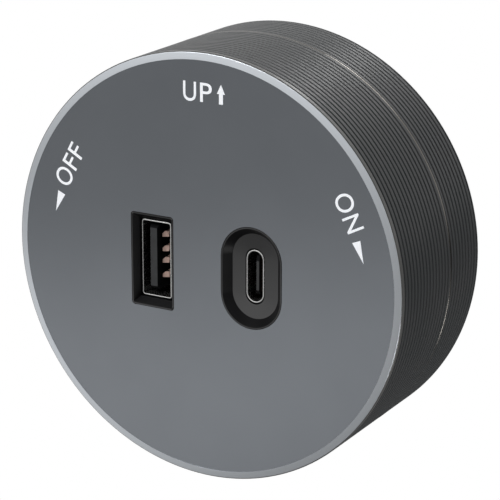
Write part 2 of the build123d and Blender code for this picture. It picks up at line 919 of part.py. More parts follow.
# Bearing plate that closes the base, with the stop's arc slot and two keys for the track
base_screw_seat = body_depth - housing_head_height - head_sink
stop_arc = CenterArc((0, 0), stop_circle_radius, stop_pin_angle - turn_degrees, turn_degrees)
with BuildPart() as base_plate:
    discs(
        [(0, 0)], base_inner + base_plate_ledge - base_plate_fit, base_plate_front, body_depth
    )
    with BuildSketch(y_plane(key_height)):
        with Locations((-key_start - key_length / 2, 0), (key_start + key_length / 2, 0)):
            RectangleRounded(key_length, key_width, key_round)
    extrude(amount=key_height)
    chamfer(base_plate.faces().filter_by(Axis.Y).sort_by(Axis.Y)[-2:].edges(), key_chamfer)
    discs([(0, 0)], hub_radius + running_fit, base_plate_front, body_depth, Mode.SUBTRACT)
    discs([(0, 0)], recess_radius, recess_front, body_depth, Mode.SUBTRACT)
    discs(
        base_boss_points, housing_screw_radius + hole_clearance, base_plate_front, body_depth,
        Mode.SUBTRACT,
    )
    discs(
        base_boss_points, housing_head_radius + hole_clearance, base_screw_seat, body_depth,
        Mode.SUBTRACT,
    )
    discs(
        pad_points, pad_radius, body_depth - pad_sink - pad_thickness, body_depth, Mode.SUBTRACT
    )
    with BuildSketch(face_plane(base_plate_front + stop_slot_depth)):
        SlotArc(stop_arc, 2 * (stop_pin_radius + stop_clearance))
    extrude(amount=stop_slot_depth, mode=Mode.SUBTRACT)
finish(base_plate, "base_plate")
pan_screws(
    "base_screws", base_boss_points, base_screw_seat, housing_screw,
    base_screw_seat - base_plate_front + screw_bite,
)

# Rubber pads in the seat face
with BuildPart() as seat_pads:
    discs(pad_points, pad_radius, body_depth - pad_sink - pad_thickness, body_depth - pad_sink)
finish(seat_pads, "seat_pads")


def contact_pockets():
    """Cuts the pockets of both contacts, springs and strips in the open part."""
    foot_width = contact_width + 2 * (contact_foot_lip + contact_clearance)
    foot_depth = contact_depth + 2 * (contact_foot_lip + contact_clearance)
    nose_width = contact_width + 2 * contact_clearance
    nose_depth = contact_depth + 2 * contact_clearance
    bore_radius = spring_radius + spring_wire / 2 + spring_bore_clearance
    foot_back = contact_back_x - contact_travel - contact_clearance
    foot_front = foot_front_x + contact_clearance
    for side in (-1, 1):
        with BuildSketch(Plane.YZ.offset(side * foot_front)) as foot:
            with Locations((twist_split_y, 0)):
                Rectangle(foot_depth, foot_width)
        extrude(foot.sketch, amount=-side * (foot_front - foot_back), mode=Mode.SUBTRACT)
        with BuildSketch(Plane.YZ.offset(side * foot_front)) as nose:
            with Locations((twist_split_y, 0)):
                Rectangle(nose_depth, nose_width)
        extrude(nose.sketch, amount=side * twist_length, mode=Mode.SUBTRACT)
        with BuildSketch(Plane.YZ.offset(side * foot_back)) as bore:
            with Locations((twist_split_y, 0)):
                Circle(bore_radius)
        extrude(bore.sketch, amount=-side * (foot_back - strip_outer), mode=Mode.SUBTRACT)
    with BuildSketch(y_plane(strip_end_y + contact_clearance)) as slots:
        with Locations(*strip_points):
            Rectangle(strip_thickness + contact_clearance, strip_width + contact_clearance)
    extrude(slots.sketch, amount=strip_end_y + contact_clearance - y_at(flange_seat), mode=Mode.SUBTRACT)


# Twist head, front half: flange in the hub, neck through the track's lips, half a block
with BuildPart() as twist_post:
    discs([(0, 0)], post_flange_radius, flange_seat, flange_back)
    discs([(0, 0)], neck_radius, flange_back, body_depth + twist_front_y)
    with BuildSketch(y_plane(twist_split_y)):
        RectangleRounded(twist_length, twist_width, twist_round)
    extrude(amount=twist_split_y - twist_front_y)
    contact_pockets()
    collar_back = body_depth + collar_start + collar_length
    with BuildSketch(face_plane(collar_back)):
        Circle(neck_radius)
        Circle(neck_radius - collar_wall, mode=Mode.SUBTRACT)
    extrude(amount=collar_length, mode=Mode.SUBTRACT)
    with BuildSketch(face_plane(collar_back)):
        with Locations((0, tail_z + neck_radius / 2)):
            Rectangle(tail_width + slot_clearance, neck_radius)
    extrude(amount=collar_back - flange_seat, mode=Mode.SUBTRACT)
    for x, z in post_screw_points:
        with BuildSketch(face_plane(flange_back)):
            with Locations((x, z)):
                Circle(twist_head_radius)
        with BuildSketch(face_plane(flange_back - twist_head_height)):
            with Locations((x, z)):
                Circle(twist_screw_radius)
        loft(mode=Mode.SUBTRACT)
    discs(post_screw_points, twist_screw_radius, flange_seat, flange_back, Mode.SUBTRACT)
    discs(
        cover_screw_points, twist_screw_radius,
        body_depth + twist_split_y - cover_screw_bite - head_sink,
        body_depth + twist_split_y, Mode.SUBTRACT,
    )
finish(twist_post, "twist_post")

# Countersunk screws that hold the twist head's flange in the hub
with BuildPart() as post_screws:
    for x, z in post_screw_points:
        with BuildSketch(face_plane(flange_back)):
            with Locations((x, z)):
                Circle(twist_head_radius)
        with BuildSketch(face_plane(flange_back - twist_head_height)):
            with Locations((x, z)):
                Circle(twist_screw_radius)
        loft()
    discs(
        post_screw_points, twist_screw_radius, flange_seat - post_screw_bite,
        flange_back - twist_head_height,
    )
    with BuildSketch(face_plane(flange_back)):
        with Locations(*post_screw_points):
            Rectangle(2 * twist_head_radius * recess_share, recess_width)
            Rectangle(recess_width, 2 * twist_head_radius * recess_share)
    extrude(amount=twist_head_height * recess_share, mode=Mode.SUBTRACT)
finish(post_screws, "post_screws")

# Twist head, rear half
cover_screw_seat = body_depth + twist_back_y - twist_head_height - head_sink
with BuildPart() as twist_cover:
    with BuildSketch(y_plane(twist_back_y)):
        RectangleRounded(twist_length, twist_width, twist_round)
    extrude(amount=twist_back_y - twist_split_y)
    fillet(twist_cover.faces().sort_by(Axis.Y)[-1].edges(), twist_edge)
    contact_pockets()
    discs(
        cover_screw_points, twist_screw_radius + hole_clearance, body_depth + twist_split_y,
        body_depth + twist_back_y, Mode.SUBTRACT,
    )
    discs(
        cover_screw_points, twist_head_radius + hole_clearance, cover_screw_seat,
        body_depth + twist_back_y, Mode.SUBTRACT,
    )
finish(twist_cover, "twist_cover")
pan_screws(
    "cover_screws", cover_screw_points, cover_screw_seat, twist_screw,
    cover_screw_seat - body_depth - twist_split_y + cover_screw_bite,
)

# Conductors through the neck: two strips, and the earth collar with its tail
for side, label in ((1, "live_strip"), (-1, "neutral_strip")):
    with BuildPart() as strip:
        block(
            (side * (strip_x + strip_thickness / 2), 0), (strip_thickness, strip_width),
            main_board_front - strip_solder, body_depth + strip_end_y,
        )
    finish(strip, label)

with BuildPart() as earth_collar:
    with BuildSketch(face_plane(collar_back)):
        Circle(neck_radius)
        Circle(neck_radius - collar_wall, mode=Mode.SUBTRACT)
        with Locations((0, -neck_radius)):
            Rectangle(collar_split, neck_radius, mode=Mode.SUBTRACT)
    extrude(amount=collar_length)
    block(
        (0, tail_z + collar_wall), (tail_width, 2 * collar_wall), body_depth + collar_start,
        collar_back,
    )
    block(
        (0, tail_z + collar_wall / 2), (tail_width, collar_wall),
        main_board_front - strip_solder, collar_back,
    )
finish(earth_collar, "earth_collar")

# Sprung contacts: a rounded nose on a wider foot that keeps it in the block
for side, label in ((1, "live_contact"), (-1, "neutral_contact")):
    with BuildPart() as contact:
        with BuildSketch(Plane.YZ.offset(side * foot_front_x)):
            with Locations((twist_split_y, 0)):
                Rectangle(contact_depth, contact_width)
        extrude(amount=side * contact_nose)
        nose_face = contact.faces().sort_by(Axis.X)[-1 if side > 0 else 0]
        fillet(nose_face.edges(), contact_round)
        with BuildSketch(Plane.YZ.offset(side * foot_front_x)):
            with Locations((twist_split_y, 0)):
                Rectangle(
                    contact_depth + 2 * contact_foot_lip, contact_width + 2 * contact_foot_lip
                )
        extrude(amount=-side * contact_foot)
    finish(contact, label)

# Springs behind the contacts, each pressing on its strip
spring_start = strip_outer + spring_gap + spring_wire / 2
spring_end = contact_back_x - spring_gap - spring_wire / 2
for side, label in ((1, "live_spring"), (-1, "neutral_spring")):
    with BuildPart() as spring:
        with BuildLine() as coil:
            Helix(
                pitch=(spring_end - spring_start) / spring_turns,
                height=spring_end - spring_start,
                radius=spring_radius,
                center=(side * spring_start, twist_split_y, 0),
                direction=(side, 0, 0),
            )
        with BuildSketch(Plane(origin=coil.line @ 0, z_dir=coil.line % 0)):
            Circle(spring_wire / 2)
        sweep(is_frenet=True)
    finish(spring, label)
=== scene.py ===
import json
import math

import bmesh
import bpy
from mathutils import Matrix, Vector


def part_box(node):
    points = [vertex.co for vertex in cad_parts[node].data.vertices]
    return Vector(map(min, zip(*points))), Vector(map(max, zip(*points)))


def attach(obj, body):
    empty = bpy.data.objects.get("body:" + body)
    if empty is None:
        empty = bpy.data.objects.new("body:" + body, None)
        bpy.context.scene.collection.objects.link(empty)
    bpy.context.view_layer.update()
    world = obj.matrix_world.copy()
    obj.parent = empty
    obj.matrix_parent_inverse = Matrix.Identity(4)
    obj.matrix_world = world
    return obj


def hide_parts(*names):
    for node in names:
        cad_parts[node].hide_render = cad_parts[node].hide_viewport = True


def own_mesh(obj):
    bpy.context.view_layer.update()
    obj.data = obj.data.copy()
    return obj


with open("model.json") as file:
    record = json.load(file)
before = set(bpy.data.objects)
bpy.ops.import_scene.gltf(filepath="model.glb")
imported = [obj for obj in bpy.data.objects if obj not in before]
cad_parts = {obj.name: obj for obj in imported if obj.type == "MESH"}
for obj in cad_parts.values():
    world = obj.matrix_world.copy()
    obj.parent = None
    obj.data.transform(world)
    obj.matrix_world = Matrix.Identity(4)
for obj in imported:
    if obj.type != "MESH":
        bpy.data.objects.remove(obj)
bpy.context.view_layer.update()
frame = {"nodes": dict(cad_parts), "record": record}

# A round charging module for a slotted power track, seen from its front left at rest.
# The front face looks towards -Y, up is +Z, and the front half turns about the Y axis.
# Depths in this file count back from the front of the face, in millimetres.
mm = 0.001
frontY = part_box("bezel_ring")[0].y
turnSteps = 180          # facets round the turning axis
mergeGap = 0.0005        # points nearer than this are one, in millimetres
copyMergeGap = 0.002     # the same for a copied solid, whose triangles lie loose
nearby = 0.01            # how near a point counts as in a plane, in millimetres
smoothAngle = 32         # edges blunter than this look round, in degrees


def yAt(depth):
    return frontY + depth * mm


# Modelling helpers
def clearSelection():
    if bpy.context.object and bpy.context.object.mode != "OBJECT":
        bpy.ops.object.mode_set(mode="OBJECT")
    bpy.ops.object.select_all(action="DESELECT")


def named(name):
    piece = bpy.context.object
    piece.name = name
    piece.data.name = name
    return piece


def openMesh():
    bpy.ops.object.mode_set(mode="EDIT")
    bpy.ops.mesh.select_mode(type="VERT")
    bpy.ops.mesh.select_all(action="SELECT")


def choose(kind, test):
    # selects the vertices, edges or faces of the open mesh whose middle passes the test
    bpy.ops.mesh.select_mode(type={"verts": "VERT", "edges": "EDGE", "faces": "FACE"}[kind])
    bpy.ops.mesh.select_all(action="DESELECT")
    mesh = bpy.context.object.data
    shape = bmesh.from_edit_mesh(mesh)
    for item in getattr(shape, kind):
        if kind == "verts":
            middle = item.co
        elif kind == "edges":
            middle = (item.verts[0].co + item.verts[1].co) / 2
        else:
            middle = item.calc_center_median()
        if test(middle, item):
            item.select_set(True)
    shape.select_flush_mode()
    bmesh.update_edit_mesh(mesh)


def closeMesh():
    # merges what meets, turns every face outwards and leaves edit mode
    bpy.ops.mesh.select_all(action="SELECT")
    bpy.ops.mesh.remove_doubles(threshold=mergeGap * mm)
    bpy.ops.mesh.normals_make_consistent(inside=False)
    bpy.ops.object.mode_set(mode="OBJECT")


def addModifier(piece, kind, **settings):
    # adds a modifier with its settings and applies it
    clearSelection()
    bpy.context.view_layer.objects.active = piece
    piece.select_set(True)
    bpy.ops.object.modifier_add(type=kind)
    modifier = piece.modifiers[-1]
    for key, value in settings.items():
        setattr(modifier, key, value)
    bpy.ops.object.modifier_apply(modifier=modifier.name)


def softEdges(piece, width, segments=2, angle=28):
    # rounds the sharp edges and smooths what is left
    addModifier(
        piece, "BEVEL", width=width * mm, segments=segments, limit_method="ANGLE",
        angle_limit=math.radians(angle),
    )
    bpy.ops.object.shade_smooth_by_angle(angle=math.radians(smoothAngle))
    addModifier(piece, "WEIGHTED_NORMAL", keep_sharp=True)


def settled(piece):
    # writes the object's place, turn and size into its mesh
    clearSelection()
    bpy.context.view_layer.objects.active = piece
    piece.select_set(True)
    bpy.ops.object.transform_apply(location=True, rotation=True, scale=True)


def joined(pieces, name):
    clearSelection()
    for piece in pieces:
        piece.select_set(True)
    bpy.context.view_layer.objects.active = pieces[0]
    bpy.ops.object.join()
    return named(name)


def drawn(name, points):
    # a new mesh, left open, that runs from point to point
    clearSelection()
    bpy.ops.mesh.primitive_plane_add(size=mm)
    piece = named(name)
    openMesh()
    bpy.ops.mesh.merge(type="CENTER")
    bpy.ops.transform.translate(value=points[0])
    for start, end in zip(points, points[1:]):
        step = [b - a for a, b in zip(start, end)]
        bpy.ops.mesh.extrude_vertices_move(TRANSFORM_OT_translate={"value": step})
    bpy.ops.mesh.select_all(action="SELECT")
    return piece


def turned(name, outline):
    # spins a closed outline of (radius, depth) round the axis
    points = [(radius * mm, yAt(depth), 0) for radius, depth in outline]
    piece = drawn(name, points + points[:1])
    bpy.ops.mesh.remove_doubles(threshold=mergeGap * mm)
    bpy.ops.mesh.select_all(action="SELECT")
    bpy.ops.mesh.spin(
        steps=turnSteps, angle=2 * math.pi, center=(0, 0, 0), axis=(0, 1, 0), use_auto_merge=True
    )
    closeMesh()
    return piece


def fasten(piece, body, slot, *nodes):
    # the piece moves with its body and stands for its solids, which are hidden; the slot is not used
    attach(piece, body)
    if nodes:
        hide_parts(*nodes)


def block(name, low, high):
    # a box between two corners of (x, depth, z)
    clearSelection()
    middle = [(a + b) / 2 for a, b in zip(low, high)]
    place = (middle[0] * mm, yAt(middle[1]), middle[2] * mm)
    bpy.ops.mesh.primitive_cube_add(size=1, location=place)
    piece = named(name)
    piece.scale = [(b - a) * mm for a, b in zip(low, high)]
    settled(piece)
    openMesh()
    return piece


def tinted(piece, material, test):
    # gives a second finish to the faces whose middle passes the test
    piece.data.materials.append(material)
    for face in piece.data.polygons:
        if test(face.center, face.normal):
            face.material_index = len(piece.data.materials) - 1


# Camera at the photograph's viewing angle
cameraFacts = {
    "place": (0.1725, -0.3134, 0.1076),
    "azimuth": 29.871,
    "elevation": 17.378,
    "roll": 0.093,
    "lens": 155.25,
    "sensor": 36.0,
}


def makeCamera():
    lens = bpy.data.cameras.new("camera")
    lens.lens = cameraFacts["lens"]
    lens.sensor_width = cameraFacts["sensor"]
    lens.clip_start = 0.01
    lens.clip_end = 20
    camera = bpy.data.objects.new("camera", lens)
    bpy.context.scene.collection.objects.link(camera)
    azimuth = math.radians(cameraFacts["azimuth"])
    elevation = math.radians(cameraFacts["elevation"])
    back = Vector((
        math.sin(azimuth) * math.cos(elevation),
        -math.cos(azimuth) * math.cos(elevation),
        math.sin(elevation),
    ))
    right = (-back).cross(Vector((0, 0, 1))).normalized()
    up = right.cross(-back)
    roll = Matrix.Rotation(math.radians(cameraFacts["roll"]), 3, "Z")
    turn = Matrix((right, up, back)).transposed() @ roll
    camera.matrix_world = Matrix.Translation(cameraFacts["place"]) @ turn.to_4x4()
    bpy.context.scene.camera = camera


makeCamera()
print("camera placed")


# Material helpers
def linear(code):
    # a hex colour of the screen, as the linear values that the shader wants
    values = [int(code[i:i + 2], 16) / 255 for i in (1, 3, 5)]
    amounts = [v / 12.92 if v <= 0.04045 else ((v + 0.055) / 1.055) ** 2.4 for v in values]
    return (*amounts, 1.0)


def addNode(tree, kind, sockets=None, **settings):
    # adds a node, sets its own values, then fills or links its input sockets
    node = tree.nodes.new(kind)
    for key, value in settings.items():
        setattr(node, key, value)
    for key, value in (sockets or {}).items():
        if isinstance(value, bpy.types.NodeSocket):
            tree.links.new(value, node.inputs[key])
        else:
            node.inputs[key].default_value = value
    return node


def ramp(tree, factor, stops):
    # a colour ramp from (place, hex) stops
    node = addNode(tree, "ShaderNodeValToRGB", {"Fac": factor})
    elements = node.color_ramp.elements
    while len(elements) < len(stops):
        elements.new(0.5)
    for element, (place, code) in zip(elements, stops):
        element.position = place
        element.color = linear(code)
    return node.outputs["Color"]


def newMaterial(name, plainColour, **values):
    # a material with one principled shader, its constant values set on its own sockets
    material = bpy.data.materials.new(name)
    material.use_nodes = True
    tree = material.node_tree
    tree.nodes.clear()
    shader = addNode(tree, "ShaderNodeBsdfPrincipled", values)
    addNode(tree, "ShaderNodeOutputMaterial", {"Surface": shader.outputs["BSDF"]})
    material.diffuse_color = linear(plainColour)
    place = addNode(tree, "ShaderNodeTexCoord").outputs["Object"]
    return material, tree, shader, place


def noise(tree, place, sizeMm, detail, roughness):
    # noise whose spots are about sizeMm across
    return addNode(
        tree, "ShaderNodeTexNoise",
        {"Vector": place, "Scale": 1 / (sizeMm * mm), "Detail": detail, "Roughness": roughness},
    ).outputs["Fac"]


def between(tree, factor, low, high):
    # spreads a 0 to 1 factor over a range of values
    return addNode(
        tree, "ShaderNodeMapRange",
        {"Value": factor, "From Min": 0.3, "From Max": 0.7, "To Min": low, "To Max": high},
    ).outputs["Result"]


def bump(tree, height, depthMm):
    return addNode(
        tree, "ShaderNodeBump", {"Height": height, "Distance": depthMm * mm, "Strength": 1.0}
    ).outputs["Normal"]


def grainy(name, dark, light, blotchMm, grainMm, grainDepthMm, roughness, **values):
    # a surface with faint blotches of colour, uneven gloss and a fine grain
    material, tree, shader, place = newMaterial(name, light, **values)
    blotch = noise(tree, place, blotchMm, 4.0, 0.5)
    grain = noise(tree, place, grainMm, 3.0, 0.6)
    tree.links.new(ramp(tree, blotch, ((0.3, dark), (0.7, light))), shader.inputs["Base Color"])
    tree.links.new(between(tree, grain, *roughness), shader.inputs["Roughness"])
    tree.links.new(bump(tree, grain, grainDepthMm), shader.inputs["Normal"])
    return material


def turnedMetal(name, dark, light, lineMm, lineDepthMm, roughness, **values):
    # metal cut on a lathe: fine rings round the Y axis, a little uneven
    material, tree, shader, place = newMaterial(name, light, **values)
    parts = addNode(tree, "ShaderNodeSeparateXYZ", {"Vector": place})
    squared = [
        addNode(tree, "ShaderNodeMath", {0: parts.outputs[axis], 1: 2.0}, operation="POWER")
        for axis in ("X", "Z")
    ]
    total = addNode(
        tree, "ShaderNodeMath", {0: squared[0].outputs[0], 1: squared[1].outputs[0]}, operation="ADD"
    )
    radius = addNode(tree, "ShaderNodeMath", {0: total.outputs[0]}, operation="SQRT")
    along = addNode(
        tree, "ShaderNodeMath", {0: radius.outputs[0], 1: parts.outputs["Y"]}, operation="ADD"
    )
    rings = addNode(
        tree, "ShaderNodeTexNoise",
        {"W": along.outputs[0], "Scale": 1 / (lineMm * mm), "Detail": 2.0}, noise_dimensions="1D",
    ).outputs["Fac"]
    tree.links.new(ramp(tree, rings, ((0.3, dark), (0.7, light))), shader.inputs["Base Color"])
    tree.links.new(between(tree, rings, *roughness), shader.inputs["Roughness"])
    tree.links.new(bump(tree, rings, lineDepthMm), shader.inputs["Normal"])
    return material


# Finishes: the sizes are those of the real surfaces, in millimetres: blotches, grain, grain depth.
# Moulded polycarbonate blend, dark grey: a fine and shallow spark-eroded grain, nearly matte.
mouldedGrey = grainy(
    "moulded_polycarbonate_grey", "#363839", "#3a3b3c", 9, 0.12, 0.00008, (0.36, 0.42),
    **{"IOR": 1.58, "Specular IOR Level": 0.12},
)
# The same plastic without the grain, on the narrow band behind the bright ring; its lighter grey is
# painted sheen, standing in for the light that the flat land catches.
smoothSheenGrey = grainy(
    "smooth_polycarbonate_painted_sheen", "#4c4c4b", "#515150", 9, 0.12, 0.0001, (0.3, 0.36),
    **{"IOR": 1.58, "Specular IOR Level": 0.2},
)
# Satin metallic paint on the polycarbonate face plate, slate grey: even and silky.
satinSlate = grainy(
    "satin_metallic_paint_slate", "#75797e", "#787c81", 14, 0.08, 0.0002, (0.15, 0.18),
    **{"Metallic": 0.62},
)
# Satin anodised aluminium of the edge ring, with lathe lines too fine to see one by one.
turnedAluminium = turnedMetal(
    "satin_anodised_aluminium", "#c3c8cd", "#cdd1d6", 0.05, 0.0002, (0.28, 0.34), **{"Metallic": 1.0}
)
# Polished chrome of the seam ring, its colour darkened to stand in for the dark surroundings it
# mirrors: painted shade.
darkenedChromeTrim = turnedMetal(
    "polished_chrome_trim_painted_dark", "#5b5854", "#63605c", 0.08, 0.00005, (0.12, 0.15), **{"Metallic": 1.0}
)
# Moulded black ABS of the surrounds: near black, smooth and a little glossy.
glossBlack = grainy(
    "moulded_abs_black", "#111112", "#151516", 4, 0.1, 0.0008, (0.3, 0.38),
    **{"IOR": 1.53, "Specular IOR Level": 0.05},
)
# The same plastic off a polished tool on their lips and on the flat floor, so these mirror more.
polishedBlack = grainy(
    "polished_abs_black", "#0e0e0f", "#111112", 4, 0.1, 0.0002, (0.1, 0.14),
    **{"IOR": 1.53, "Specular IOR Level": 0.72},
)
# Drawn stainless steel of the socket shells, with a bright rim.
drawnSteel = grainy(
    "drawn_stainless_steel", "#c3c3c2", "#d2d2d0", 2, 0.15, 0.0006, (0.2, 0.3), **{"Metallic": 1.0}
)
# Glass-filled nylon of the tongues, in two copies: near-black on the sides, which is painted shade, and
# a paler grey on the front end, which is painted light.
shadeBlackNylon = grainy(
    "glass_filled_nylon_painted_shade", "#08080a", "#0b0b0c", 2, 0.1, 0.001, (0.5, 0.6),
    **{"IOR": 1.53, "Specular IOR Level": 0.04},
)
litFrontNylon = grainy(
    "nylon_front_painted_light", "#343435", "#393a3b", 1, 0.1, 0.001, (0.5, 0.6),
    **{"IOR": 1.53, "Specular IOR Level": 0.2},
)
# Thinly plated copper alloy of the large contacts: the copper shows through, warm and satin.
platedCopper = grainy(
    "plated_copper_alloy", "#dcbaac", "#e4c5b8", 1.2, 0.1, 0.0006, (0.4, 0.5), **{"Metallic": 0.2}
)
# The same alloy darkened, on the small contacts deep in their mouth: the dark colour is painted shade.
shadedCopper = grainy(
    "copper_alloy_painted_shade", "#3a2c24", "#46362c", 0.6, 0.08, 0.0004, (0.4, 0.5), **{"Metallic": 0.8}
)
# Solder mask over glass laminate.
solderMask = grainy(
    "solder_mask_green", "#0d3b22", "#14502f", 1.5, 0.3, 0.002, (0.3, 0.4), **{"IOR": 1.5}
)
# Zinc-plated screws.
zincPlate = grainy(
    "zinc_plated_steel", "#a9abae", "#b9bbbd", 0.8, 0.12, 0.0008, (0.25, 0.38), **{"Metallic": 1.0}
)
# Tempered spring steel, slightly blue-grey.
springSteel = grainy(
    "tempered_spring_steel", "#85888c", "#969a9e", 1.0, 0.1, 0.0006, (0.28, 0.4), **{"Metallic": 1.0}
)
# Sintered ferrite: matte, gritty, almost black.
ferrite = grainy(
    "sintered_ferrite", "#222223", "#2c2c2d", 1.0, 0.15, 0.006, (0.6, 0.75), **{"IOR": 1.8}
)
# Yellow polyester tape round the winding.
coilTape = grainy(
    "polyester_tape_yellow", "#b08a1e", "#bd9526", 3, 0.4, 0.003, (0.2, 0.3), **{"IOR": 1.6}
)
# Black shrink sleeve of the capacitors.
canSleeve = grainy(
    "shrink_sleeve_black", "#17171c", "#1d1d23", 2, 0.5, 0.002, (0.2, 0.3), **{"IOR": 1.54}
)
# Blue epoxy dip.
epoxyBlue = grainy(
    "epoxy_dip_blue", "#1c3a82", "#224590", 1.5, 0.4, 0.006, (0.2, 0.32), **{"IOR": 1.55}
)
# Moulded yellow polyester box.
boxYellow = grainy(
    "moulded_polyester_yellow", "#b5911b", "#c29c24", 2, 0.2, 0.002, (0.35, 0.45), **{"IOR": 1.57}
)
# Clear drawn glass of the fuse.
fuseGlass = grainy(
    "drawn_glass_clear", "#e6efee", "#f2f8f7", 3, 1.0, 0.0005, (0.02, 0.05),
    **{"IOR": 1.5, "Transmission Weight": 0.9},
)
# Moulded epoxy of the chips.
chipEpoxy = grainy(
    "moulded_epoxy_black", "#161617", "#1c1c1d", 1.0, 0.1, 0.003, (0.5, 0.62), **{"IOR": 1.55}
)
# Glass-filled nylon of the base, cup and twist head: dull grey-black with faint fibre flow.
baseNylon = grainy(
    "glass_filled_nylon_grey", "#2f3032", "#37383b", 5, 0.14, 0.003, (0.42, 0.54), **{"IOR": 1.53}
)
# Soft rubber pads.
padRubber = grainy(
    "moulded_rubber_black", "#1b1b1b", "#212121", 1.5, 0.2, 0.006, (0.7, 0.82), **{"IOR": 1.5}
)
# White screen-printed ink that glows faintly, so it gives back slightly more than it gets: the glow is
# painted light.
glowingInk = grainy(
    "screen_print_white_painted_glow", "#f4f6fa", "#fafcff", 1.0, 0.08, 0.0008, (0.4, 0.5),
    **{"IOR": 1.5, "Emission Color": linear("#eef4ff"), "Emission Strength": 0.1},
)

finishOfSlot = {
    "shell_grey": mouldedGrey,
    "face_grey": satinSlate,
    "ring_pale": turnedAluminium,
    "trim_bright": darkenedChromeTrim,
    "surround_black": glossBlack,
    "socket_steel": drawnSteel,
    "tongue_grey": shadeBlackNylon,
    "contact_copper": platedCopper,
    "board_green": solderMask,
    "screw_steel": zincPlate,
    "spring_steel": springSteel,
    "core_ferrite": ferrite,
    "coil_tape": coilTape,
    "can_black": canSleeve,
    "disc_blue": epoxyBlue,
    "box_yellow": boxYellow,
    "fuse_glass": fuseGlass,
    "chip_black": chipEpoxy,
    "base_grey": baseNylon,
    "pad_rubber": padRubber,
}


def paint(piece, material):
    piece.data.materials.clear()
    piece.data.materials.append(material)


for subpart in frame["record"]["subparts"]:
    if subpart.get("material_slot") in finishOfSlot:
        paint(frame["nodes"][subpart["node"]], finishOfSlot[subpart["material_slot"]])
print("finishes made")

# Ribbed sleeves of the front half and of the base
sleeveSizes = {
    "radius": 36.0,
    "pitch": 1.12,
    "grooveWidth": 0.43,
    "grooveFloor": 0.17,
    "grooveDepth": 0.42,
    "crownRound": 0.05,
    "lipRadius": 35.86,      # inner side of the lip round the bright ring
    "lipFront": 0.14,
    "lipShoulder": 0.3,
    "headFront": 0.31,       # just behind the shoulder of the bright ring
    "headBack": 17.8,
    "headFirstGroove": 1.2,
    "headGrooves": 15,
    "headInner": 33.8,
    "skirtOuter": 35.2,
    "plateBack": 1.55,
    "baseFront": 18.3,
    "baseBack": 28.6,
    "baseFirstGroove": 19.12,
    "baseGrooves": 9,
    "baseInner": 32.6,
    "counterbore": 33.75,
    "counterboreDepth": 26.0,
    "edgeChamfer": 0.15,
}


def ribs(first, count):
    # the outline of a row of grooves, each with sloping sides and a flat floor
    sizes = sleeveSizes
    outer = sizes["radius"]
    floor = outer - sizes["grooveDepth"]
    points = []
    for i in range(count):
        depth = first + i * sizes["pitch"]
        points += [
            (outer, depth - sizes["grooveWidth"] / 2),
            (floor, depth - sizes["grooveFloor"] / 2),
            (floor, depth + sizes["grooveFloor"] / 2),
            (outer, depth + sizes["grooveWidth"] / 2),
        ]
    return points


def makeSleeves():
    sizes = sleeveSizes
    outer = sizes["radius"]
    head = turned("front_sleeve", (
        [
            (sizes["lipRadius"], sizes["headFront"]),
            (sizes["lipRadius"], sizes["lipFront"]),
            (outer, sizes["lipShoulder"]),
        ]
        + ribs(sizes["headFirstGroove"], sizes["headGrooves"])
        + [
            (outer, sizes["headBack"]),
            (sizes["headInner"], sizes["headBack"]),
            (sizes["headInner"], sizes["plateBack"]),
            (sizes["skirtOuter"], sizes["plateBack"]),
            (sizes["skirtOuter"], sizes["headFront"]),
        ]
    ))
    base = turned("base_sleeve", (
        [(outer, sizes["baseFront"])]
        + ribs(sizes["baseFirstGroove"], sizes["baseGrooves"])
        + [
            (outer, sizes["baseBack"] - sizes["edgeChamfer"]),
            (outer - sizes["edgeChamfer"], sizes["baseBack"]),
            (sizes["counterbore"], sizes["baseBack"]),
            (sizes["counterbore"], sizes["counterboreDepth"]),
            (sizes["baseInner"], sizes["counterboreDepth"]),
            (sizes["baseInner"], sizes["baseFront"]),
        ]
    ))
    for piece, body, node in ((head, "head", "head_shell"), (base, "base", "base_shell")):
        softEdges(piece, sizes["crownRound"])
        paint(piece, mouldedGrey)
        fasten(piece, body, "shell_grey", node)
    bandEnd = yAt(sizes["headFirstGroove"] - sizes["grooveWidth"] / 2)
    # the band behind the ring takes the lighter copy: painted sheen
    tinted(head, smoothSheenGrey, lambda middle, normal: middle.y < bandEnd)


makeSleeves()
print("sleeves turned")

# Bright edge ring round the face
edgeRing = {
    "inner": 34.8,
    "lipInner": 34.68,   # a thin lip covers the rim of the plate
    "lipThickness": 0.045,
    "outer": 35.84,
    "skirtOuter": 35.2,
    "back": 1.55,
    "shoulder": 0.3,
    "fall": 0.13,        # how far the face of the ring drops back towards its outer side
    "bevelWidth": 0.05,  # bevel along the outer side
    "bevelDrop": 0.032,
    "edgeRound": 0.022,
}


def makeEdgeRing():
    ring = edgeRing
    piece = turned("edge_ring", [
        (ring["lipInner"], 0.0),
        (ring["outer"] - ring["bevelWidth"], ring["fall"]),
        (ring["outer"], ring["fall"] + ring["bevelDrop"]),
        (ring["outer"], ring["shoulder"]),
        (ring["skirtOuter"], ring["shoulder"]),
        (ring["skirtOuter"], ring["back"]),
        (ring["inner"], ring["back"]),
        (ring["inner"], ring["lipThickness"]),
        (ring["lipInner"], ring["lipThickness"]),
    ])
    softEdges(piece, ring["edgeRound"])
    paint(piece, turnedAluminium)
    fasten(piece, "head", "ring_pale", "bezel_ring")


makeEdgeRing()

# Polished ring at the seam
seamRing = {"inner": 33.8, "outer": 36.02, "front": 17.8, "back": 18.2, "edgeRound": 0.1}


def makeSeamRing():
    ring = seamRing
    piece = turned("seam_ring", [
        (ring["inner"], ring["front"]),
        (ring["outer"], ring["front"]),
        (ring["outer"], ring["back"]),
        (ring["inner"], ring["back"]),
    ])
    softEdges(piece, ring["edgeRound"], 3)
    # the seam ring's chrome is darkened: painted shade
    paint(piece, darkenedChromeTrim)
    fasten(piece, "head", "trim_bright", "trim_ring")


makeSeamRing()
print("rings turned")

